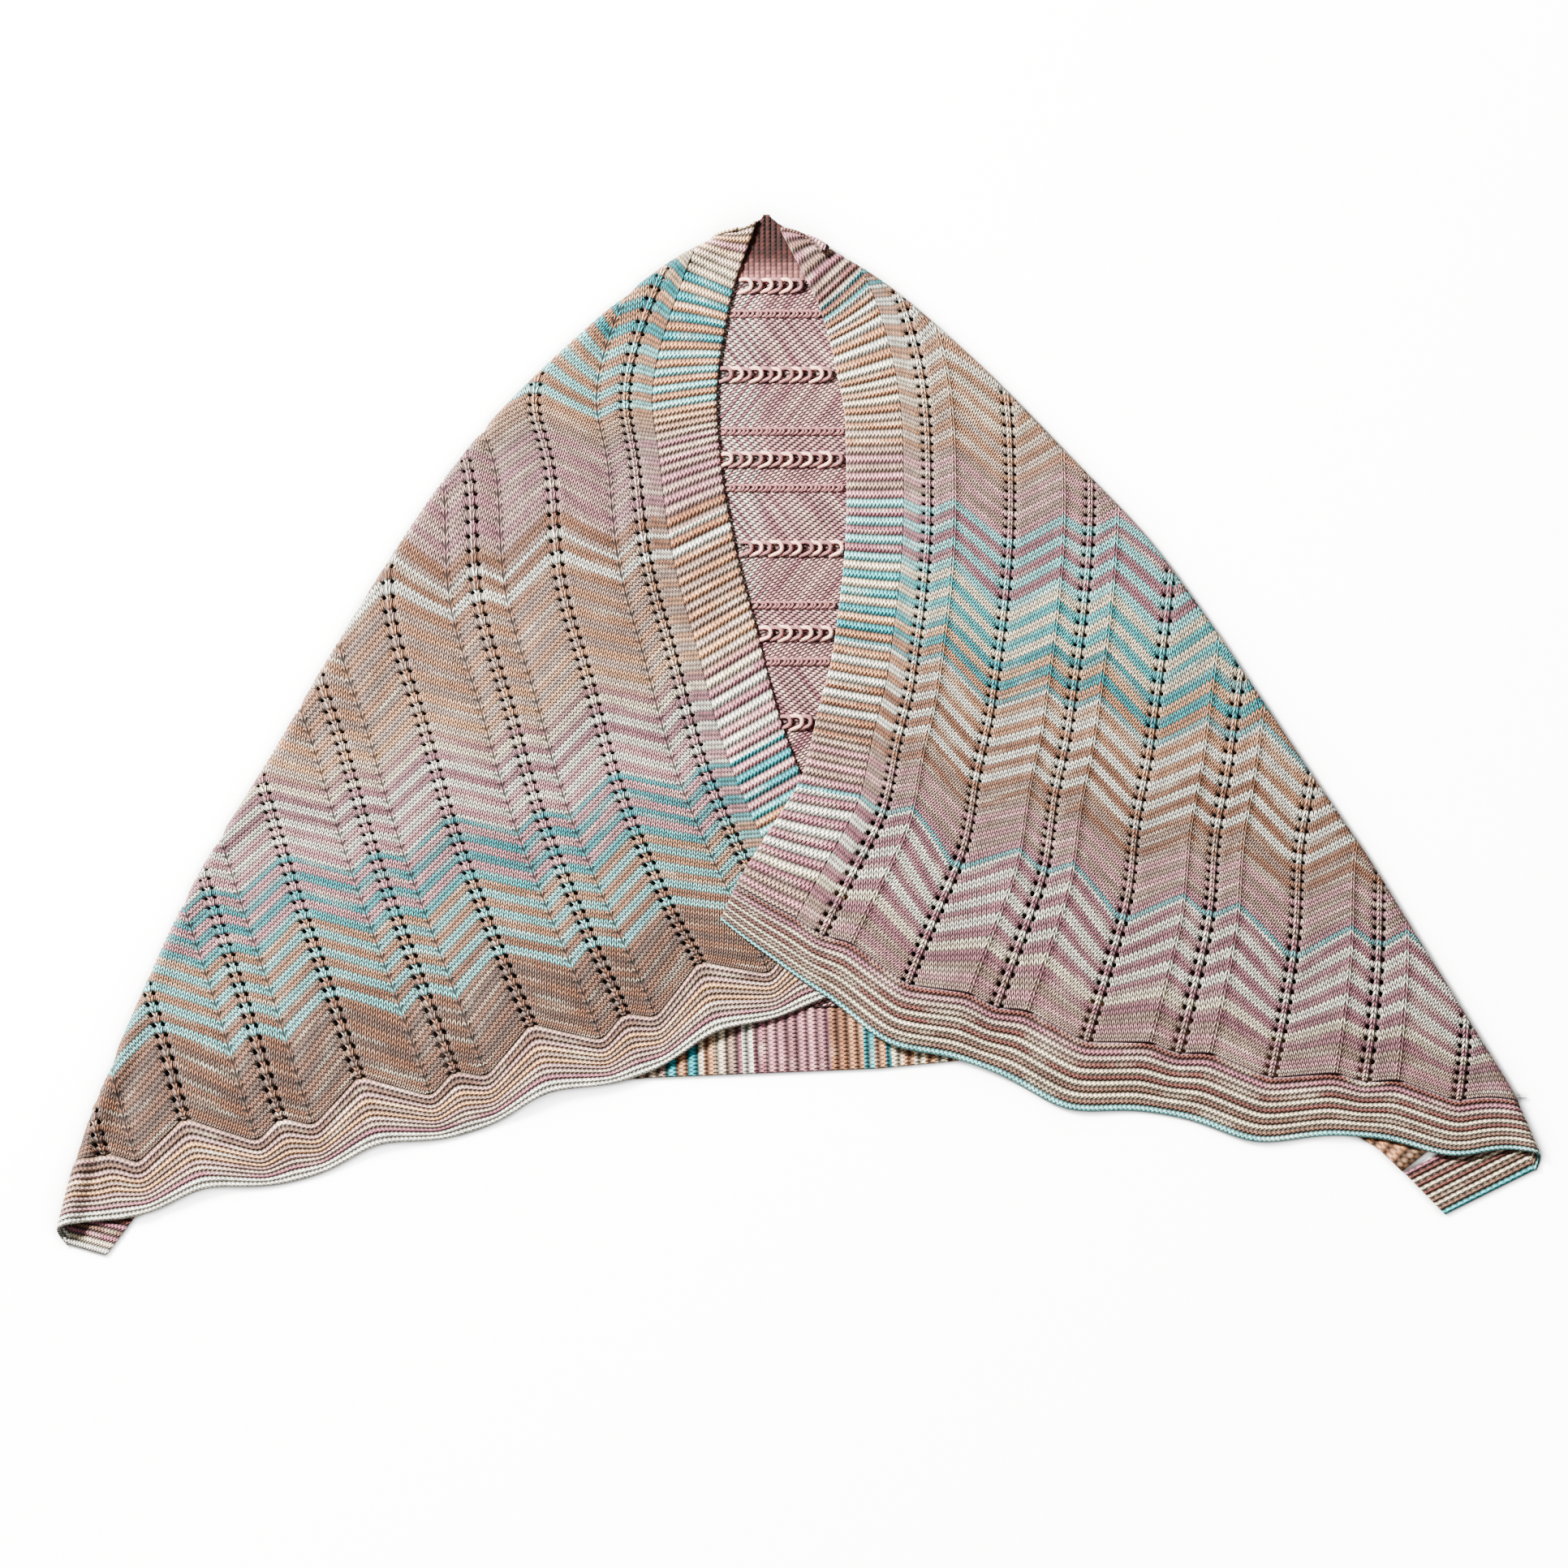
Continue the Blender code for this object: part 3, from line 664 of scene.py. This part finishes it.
# End bands: eleven garter ridges across each end of the wrap, one wool to a ridge.
# The lace draws their seam into a zigzag, and the bound-off edge waves and lifts with it.
END_WOOLS = {
    "left": [(-22, "white"), (-20, "white"), (-18, "mauve"), (-16, "light greige"),
             (-14, "pink greige"), (-12, "light tan"), (-10, "greige"), (-8, "light tan"),
             (-6, "pink greige"), (-4, "brown grey"), (-2, "pink greige"), (-0.6, "tan"), (0, "tan")],
    "right": [(-22, "pale"), (-20, "brown grey"), (-18, "cream"), (-16, "brown grey"),
              (-14, "cream"), (-12, "brown mauve"), (-10, "cream"), (-8, "brown mauve"),
              (-6, "light greige"), (-4, "mauve"), (-2, "brown mauve"), (-0.6, "pink mauve"),
              (0, "pink mauve")],
}


def banded_wool(name, wools, stitch_scale=1.0):
    """Garter with its own wool on each ridge."""
    w = Wiring(name)
    stitch, row, _ = w.cloth()
    stitch = w.times(stitch, stitch_scale)
    ridges = w.times(row, 0.5)
    colour = w.ramp(row, wools, wools[0][0], wools[-1][0], steps=True)
    colour = w.marled(colour, w.floor(ridges), stitch)
    return w.paint_shade_and_finish(colour, garter_height(w, stitch, ridges), 2.2, 2.0)


def make_end_band(side):
    def lay(stitch, row):
        relief = garter_relief(stitch, row) - 1.0 * np.exp(-(row + BAND_ROWS) / 0.5)
        return lay_front(side, stitch, row, GARTER, relief)

    obj = make_sheet(side + "_end_band_sheet", np.arange(0.0, CAST + 0.1, 0.5),
                     np.arange(-BAND_ROWS, 0.1, 0.5), lay,
                     banded_wool(side + "_end_garter", END_WOOLS[side]), GARTER, flip=side == "left")
    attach(obj, "root")
    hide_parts(side + "_end_band")


for side in ("left", "right"):
    make_end_band(side)

# Turned-under corners: the wrong side of each end band, where it comes out from under its fold.
# They lie flat on the surface, with the same ridges in deeper colours, partly their own wools and partly
# painted shade.
CORNERS = {
    "left": {"tip": LEFT_CORNER, "seam": (-555.5, -392.5), "flat": (0.055, 0.06),
             "wools": [(-22, "white"), (-20, "cream"), (-18, "mauve"), (-16, "brown grey"),
                       (-14, "mauve"), (-12, "brown mauve"), (-10, "tan brown"), (-8, "mauve"),
                       (-6, "brown mauve"), (-4, "brown grey"), (-2, "tan brown"), (0, "tan")]},
    "right": {"tip": RIGHT_CORNER, "seam": (521.5, -376.6), "flat": (0.06, 0.085),
              "wools": [(-22, "sea"), (-20, "brown grey"), (-18, "cream"), (-16, "brown grey"),
                        (-14, "cream"), (-12, "brown mauve"), (-10, "cream"), (-8, "brown mauve"),
                        (-6, "light greige"), (-4, "brown mauve"), (-2, "mauve"), (0, "pink mauve")]},
}


def turned_under(side, row):
    """Where a row comes out from under the fold."""
    stitch = np.arange(180.0, CAST, 0.25)
    nothing = np.zeros(len(stitch))
    place, past = lay_front(side, stitch, nothing + row, GARTER, nothing)
    return [np.interp(2.0, past, place[:, 0]), np.interp(2.0, past, place[:, 1])]


def make_corner(side):
    tip, seam = np.array(CORNERS[side]["tip"], float), np.array(CORNERS[side]["seam"])

    def lay(share, row):
        shown, which = np.unique(row, return_inverse=True)
        start = np.array([turned_under(side, one) for one in shown])[which]
        end = tip + (seam - tip) * ((row + BAND_ROWS) / BAND_ROWS)[:, None]
        ridge = 1.0 - np.abs(np.mod(row, 2.0) - 1.0) ** 2
        return np.column_stack([start + (end - start) * share[:, None], KNIT + 0.7 * ridge]), None

    obj = make_sheet(side + "_under_corner_sheet", np.linspace(0.0, 1.0, 41), np.arange(-BAND_ROWS, 0.1, 0.5),
                     lay, banded_wool(side + "_corner_garter", CORNERS[side]["wools"], 16.0), KNIT,
                     flip=side == "right")
    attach(obj, "root")
    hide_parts(side + "_under_corner")


for side in ("left", "right"):
    make_corner(side)

# Back panel: the middle of the wrap, wrong side up in the neck opening and hidden elsewhere.
# Its rows run down the page there. On the wrong side every eyelet column shows as a rope of big
# loops and every decrease line as a rope of small ones, and both are modelled loop by loop.
BACK_TOP = 465.0
STITCH_DOWN = 3.487
ROW_ACROSS = 3.55


def fold_line(side):
    """The line just inside a fold, where the back panel ends."""
    rows = FRONTS[side]["rows"]
    at = np.linspace(rows[-1][0], rows[0][0], 60)
    return pair(rows, FOLD_X, at) - outwards(side, at) * (read(rows, RADIUS, at)[:, None] + 4.2)


LEFT_LINE, RIGHT_LINE = fold_line("left"), fold_line("right")


def across_back(share, y):
    left = np.interp(-y, -LEFT_LINE[:, 1], LEFT_LINE[:, 0])
    right = np.interp(-y, -RIGHT_LINE[:, 1], RIGHT_LINE[:, 0])
    return left + (right - left) * share


def back_wool():
    """Purl bumps in slanting rows, pale strands at the left, painted shade under the ropes and the fronts."""
    w = Wiring("back_purl")
    stitch, row, away = w.cloth()
    slanted = w.line(away, -0.75, row)
    bump = w.hump(w.plus(stitch, w.fraction(w.times(w.floor(slanted), 0.5))))
    height = w.times(bump, w.line(w.hump(slanted), 0.6, 0.4))
    tone = w.cloud(w.join(w.times(stitch, 0.03), w.times(w.floor(slanted), 0.35)))
    colour = w.blend(w.clipped(w.line(tone, 4.0, -1.6)), dyed((192, 152, 160)), dyed((222, 196, 194)))
    colour = w.marled(colour, w.floor(slanted), stitch)
    strand = w.clipped(w.line(w.hump(w.times(slanted, 0.42)), 3.0, -1.9))
    at_left = w.clipped(w.line(row, -0.3, -2.4))
    colour = w.blend(w.times(w.times(strand, at_left), 0.7), colour, dyed((246, 232, 224)))
    # Painted shade under the ropes, along the eyelet columns and the decreases.
    rope = w.maths("MINIMUM", w.from_columns(stitch), w.line(away, 2.0, 1.0))
    colour = w.shaded(colour, w.clipped(w.line(rope, 0.6, 0.2)))
    # Painted shade: the panel is made nearly black where the fronts cover it, so their holes look dark.
    painted_shade_under_fronts = w.maths("GREATER_THAN", w.maths("ABSOLUTE", w.plus(row, 4.0)), 19.0)
    colour = w.blend(w.times(painted_shade_under_fronts, 0.8), colour, (0.03, 0.02, 0.02, 1.0))
    return w.paint_shade_and_finish(colour, height, 2.4, 1.6)


def back_level(x, y):
    """The panel lies in low slanting folds in the middle of the opening, and flat elsewhere."""
    middle = bell(x + 4.0 + 0.08 * (y - 96.0), 30.0) * smooth((y + 30.0) / 60.0) * smooth((392.0 - y) / 30.0)
    folds = np.sin((x * 0.6 - y) / 16.0) + 0.8 * np.sin((x + y * 0.55) / 9.0 + 1.0)
    return KNIT + middle * (0.9 + 0.6 * folds)


def make_back():
    def lay(share, stitch):
        y = BACK_TOP - stitch * STITCH_DOWN
        x = across_back(share, y)
        y = np.maximum(y, np.interp(x, [h[2] for h in HEM], [h[3] for h in HEM]) + 0.5)
        return np.column_stack([x, y, back_level(x, y)]), None

    down = np.concatenate([np.arange(20.0, 136.0, 0.5), np.arange(136.0, 241.0, 4.0)])
    obj = make_sheet("back_panel_sheet", np.linspace(0.0, 1.0, 181), down, lay, back_wool(), KNIT, flip=True)
    place = np.empty(len(obj.data.vertices) * 3)
    obj.data.vertices.foreach_get("co", place)
    place = place.reshape(-1, 3) / MM
    stitch = (BACK_TOP - place[:, 1]) / STITCH_DOWN
    away = np.interp(stitch, CHEVRON[:, 0], FROM_DECREASE)
    cloth = np.column_stack([stitch, place[:, 0] / ROW_ACROSS, away])
    obj.data.attributes["cloth"].data.foreach_set("vector", cloth.ravel())
    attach(obj, "root")
    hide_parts("back_panel")
    return obj


# One loop of a rope: across the page, up it, and up from the cloth
LOOP = [(-6.4, 4.4, 0.2), (-2.4, 5.4, 1.8), (2.2, 4.4, 2.6), (4.0, 0.4, 2.8), (2.0, -3.6, 2.4),
        (-2.6, -5.0, 1.6), (-7.0, -6.4, 0.2)]
LOOP_PITCH = 8.6
LOOP_STRAND = 1.75
SMALL_LOOP = 0.45
ROPES_AT, ROPES_REACH = -10.0, 60.0


def make_ropes(name, colour, turn):
    """All loops of one wool: every other one of the big ropes, and all small ones for the second wool."""
    curve = bpy.data.curves.new(name, "CURVE")
    curve.dimensions = "3D"
    curve.bevel_depth = LOOP_STRAND * MM
    curve.bevel_resolution = 1
    curve.resolution_u = 2
    curve.use_fill_caps = True
    ropes = [(column, 1.0) for column in EYELETS[:6]] + [(column, SMALL_LOOP) for column in DECREASES[:6]]
    for n, (column, size) in enumerate(ropes):
        y = BACK_TOP - column * STITCH_DOWN
        low = np.interp(y, [r[NECK_Y] for r in LEFT_ROWS], [r[NECK_X] for r in LEFT_ROWS])
        high = np.interp(y, [r[NECK_Y] for r in RIGHT_ROWS], [r[NECK_X] for r in RIGHT_ROWS])
        pitch = LOOP_PITCH * size
        for k in range(int(-ROPES_REACH / pitch), int(ROPES_REACH / pitch)):
            x = ROPES_AT + k * pitch + 0.6 * math.sin(k * 2.3 + n)
            mine = (k + n) % 2 == turn if size == 1.0 else turn == 1
            if not mine or x < low + 3.0 or x > high - 4.0 * size:
                continue
            grow = size * (1.0 + 0.08 * math.sin(k * 4.1 + n * 2.0))
            spline = curve.splines.new("NURBS")
            spline.points.add(len(LOOP) - 1)
            spline.use_endpoint_u = True
            spline.order_u = 3
            for point, (dx, dy, dz) in zip(spline.points, LOOP):
                spot = np.array((x + dx * grow, y + dy * grow, dz * size))
                spot[2] += back_level(spot[0], spot[1])
                point.co = (*(spot * MM), 1.0)
                point.radius = 0.5 + 0.5 * size
    w = Wiring(name)
    ply = w.cloud(w.place(), 900.0, 1.0)
    curve.materials.append(w.paint_shade_and_finish(w.shaded(dyed(colour), w.line(ply, 0.9, 0.5)), ply, 0.6, 0.5))
    obj = bpy.data.objects.new(name, curve)
    bpy.context.scene.collection.objects.link(obj)
    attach(obj, "root")
    return obj


back = make_back()
ropes = [make_ropes("rope_pale", (226, 200, 192), 0), make_ropes("rope_mauve", (178, 148, 148), 1)]

# Band behind the neck: the middle of the long garter edge, which stands up at its tip.
# It is seen from inside, in shade, with its ridges running up it.
SHADED_WOOL = (112, 78, 72)
LIT_WOOL = (170, 140, 138)
LIT_TO, LIT_FADE = 414.0, 22.0
NECK_RIDGE, NECK_STITCH = 4.8, 3.4
TIP_FROM, TIP_RUN, TIP_LEFT, TIP_WIDTH = 430.0, 18.0, -31.0, 6.0


def make_back_neck():
    w = Wiring("back_neck_garter")
    x, y, _ = w.split(w.place())
    ridges, stitches = w.times(x, 1.0 / (NECK_RIDGE * MM)), w.times(y, 1.0 / (NECK_STITCH * MM))
    height = w.times(w.hump(ridges), w.line(w.hump(stitches), 0.5, 0.5))
    fleck = w.speckle(w.join(w.floor(ridges), w.floor(stitches)))
    lit = w.clipped(w.line(y, -1.0 / (LIT_FADE * MM), LIT_TO / LIT_FADE))
    colour = w.blend(lit, dyed(SHADED_WOOL), dyed(LIT_WOOL))
    wool = w.paint_shade_and_finish(w.shaded(colour, w.line(fleck, 0.9, 0.55)), height, 0.7, 0.8)

    def lay(share, y):
        x = across_back(share, np.minimum(y, TIP_FROM))
        x = x + (TIP_LEFT + TIP_WIDTH * share - x) * smooth((y - TIP_FROM) / TIP_RUN)
        ridge = np.abs(np.sin(math.pi * x / NECK_RIDGE))
        return np.column_stack([x, y, collar_rise(y) + GARTER + 0.4 * ridge]), None

    obj = make_sheet("back_neck_band_sheet", np.linspace(0.0, 1.0, 65), np.linspace(APEX_FOOT, APEX_TIP, 33),
                     lay, wool, GARTER)
    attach(obj, "root")
    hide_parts("back_neck_band")


make_back_neck()

# Hem band: the wrap's other long garter edge, along the foot of the back panel.
# Its ridges run up the page, and only its middle shows between the two fronts.
HEM_RIDGE = 8.7
HEM_WOOLS = [(-620, "greige"), (-116, "turquoise"), (-107, "tan"), (-98, "turquoise"), (-90, "cream"),
             (-83, "tan"), (-74, "cream"), (-66, "greige"), (-57, "mauve"), (-49, "white"),
             (-40, "mauve"), (-33, "pink"), (-15, "pink mauve"), (0, "pink"), (14, "pink mauve"),
             (28, "tan brown"), (38, "tan"), (54, "turquoise"), (63, "tan"), (72, "turquoise"),
             (80, "cream"), (89, "tan"), (97, "cream"), (106, "tan"), (115, "cream"), (124, "tan"),
             (133, "cream"), (142, "tan"), (151, "cream"), (160, "tan"), (600, "tan")]


def make_hem():
    w = Wiring("hem_garter")
    along, up, _ = w.cloth()
    ridges = w.times(along, 1.0 / HEM_RIDGE)
    stitch = w.times(up, 16.0)
    colour = w.marled(w.ramp(along, HEM_WOOLS, -620.0, 600.0, steps=True), w.floor(ridges), stitch)
    wool = w.paint_shade_and_finish(colour, garter_height(w, stitch, ridges), 2.2, 1.6)

    def lay(x, share):
        edge_x, edge_y, seam_x, seam_y = [[h[k] for h in HEM] for k in range(4)]
        y = np.interp(x, edge_x, edge_y)
        ridge = 1.0 - np.abs(np.mod(x * 2.0 / HEM_RIDGE, 2.0) - 1.0)
        z = KNIT + np.maximum(0.9 * ridge - 0.8 * np.exp(-share * 30), 0.1)
        shown_x = x + (np.interp(x, edge_x, seam_x) - x) * share
        return np.column_stack([shown_x, y + (np.interp(x, edge_x, seam_y) - y) * share, z]), None

    xs = np.concatenate([np.linspace(-554, -160, 40), np.arange(-158, 190, HEM_RIDGE / 4.0),
                         np.linspace(190, 520, 40)])
    obj = make_sheet("back_hem_band_sheet", xs, np.linspace(0.0, 1.0, 33), lay, wool, KNIT)
    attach(obj, "root")
    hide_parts("back_hem_band")


make_hem()

# Ground: a plain white surface that the wrap lies on, just under its lowest wool.
# It glows so that it stays bright, and the glow is dimmed into a painted soft shadow near the cloth.
GROUND_HALF, GROUND_Z, GLOW = 6.0, -0.0003, 9.0
floor_mesh = bpy.data.meshes.new("ground")
bm = bmesh.new()
bmesh.ops.create_grid(bm, x_segments=1, y_segments=1, size=GROUND_HALF)
bmesh.ops.translate(bm, verts=bm.verts, vec=(0.0, 0.0, GROUND_Z))
bm.to_mesh(floor_mesh)
bm.free()
floor = bpy.data.objects.new("ground", floor_mesh)
bpy.context.scene.collection.objects.link(floor)
ground = Wiring("ground_white")
ground.shader.inputs["Base Color"].default_value = (0.85, 0.85, 0.85, 1.0)
ground.shader.inputs["Roughness"].default_value = 1.0
ground.shader.inputs["Specular IOR Level"].default_value = 0.0


def open_sky(distance, normal, sharp):
    """How little the cloth shuts the ground in, within a distance and on the side that it faces."""
    node = ground.nodes.new("ShaderNodeAmbientOcclusion")
    node.samples = 8
    node.inputs["Distance"].default_value = distance
    if normal:
        node.inputs["Normal"].default_value = normal
    return ground.power(node.outputs["AO"], sharp)


# Painted shadow on the ground: soft to the lower right of the cloth, and deep under it, in the holes.
glow_left_by_painted_shadow = ground.times(open_sky(0.07, (-0.45, 0.45, 0.77), 3.0), open_sky(0.006, None, 4.0))
seen = ground.nodes.new("ShaderNodeLightPath").outputs["Is Camera Ray"]
ground.shader.inputs["Emission Color"].default_value = (1.0, 1.0, 1.0, 1.0)
ground.put(ground.shader.inputs["Emission Strength"], ground.times(ground.times(glow_left_by_painted_shadow, seen), GLOW))
floor_mesh.materials.append(ground.material)

# Light: one large soft lamp from the upper left, low enough to bring out the stitches,
# and a pale studio all round that fills their shade.
world = bpy.data.worlds.new("studio")
bpy.context.scene.world = world
world.use_nodes = True
world.node_tree.nodes["Background"].inputs[0].default_value = (1.0, 0.98, 0.95, 1.0)
world.node_tree.nodes["Background"].inputs[1].default_value = 0.5

lamp_data = bpy.data.lights.new("key", "AREA")
lamp_data.shape = "DISK"
lamp_data.size = 0.8
lamp_data.energy = 1700.0
lamp_data.color = (1.0, 0.97, 0.93)
lamp = bpy.data.objects.new("key", lamp_data)
lamp.location = (-2.3, 1.9, 1.9)
lamp.rotation_mode = "QUATERNION"
lamp.rotation_quaternion = (-lamp.location).to_track_quat("-Z", "Y")
bpy.context.scene.collection.objects.link(lamp)

# Camera: straight above the wrap and far off, so that it hardly foreshortens.
# The picture is 1.3524 m wide on the ground, which is 0.7 mm for each pixel of the photo.
CAMERA_HEIGHT, PICTURE_WIDTH = 8.0, 1.3524
camera_data = bpy.data.cameras.new("camera")
camera_data.lens = camera_data.sensor_width * CAMERA_HEIGHT / PICTURE_WIDTH
camera_data.clip_end = 50.0
camera = bpy.data.objects.new("camera", camera_data)
camera.location = (-0.01295, -0.04165, CAMERA_HEIGHT)
bpy.context.scene.collection.objects.link(camera)
bpy.context.scene.camera = camera
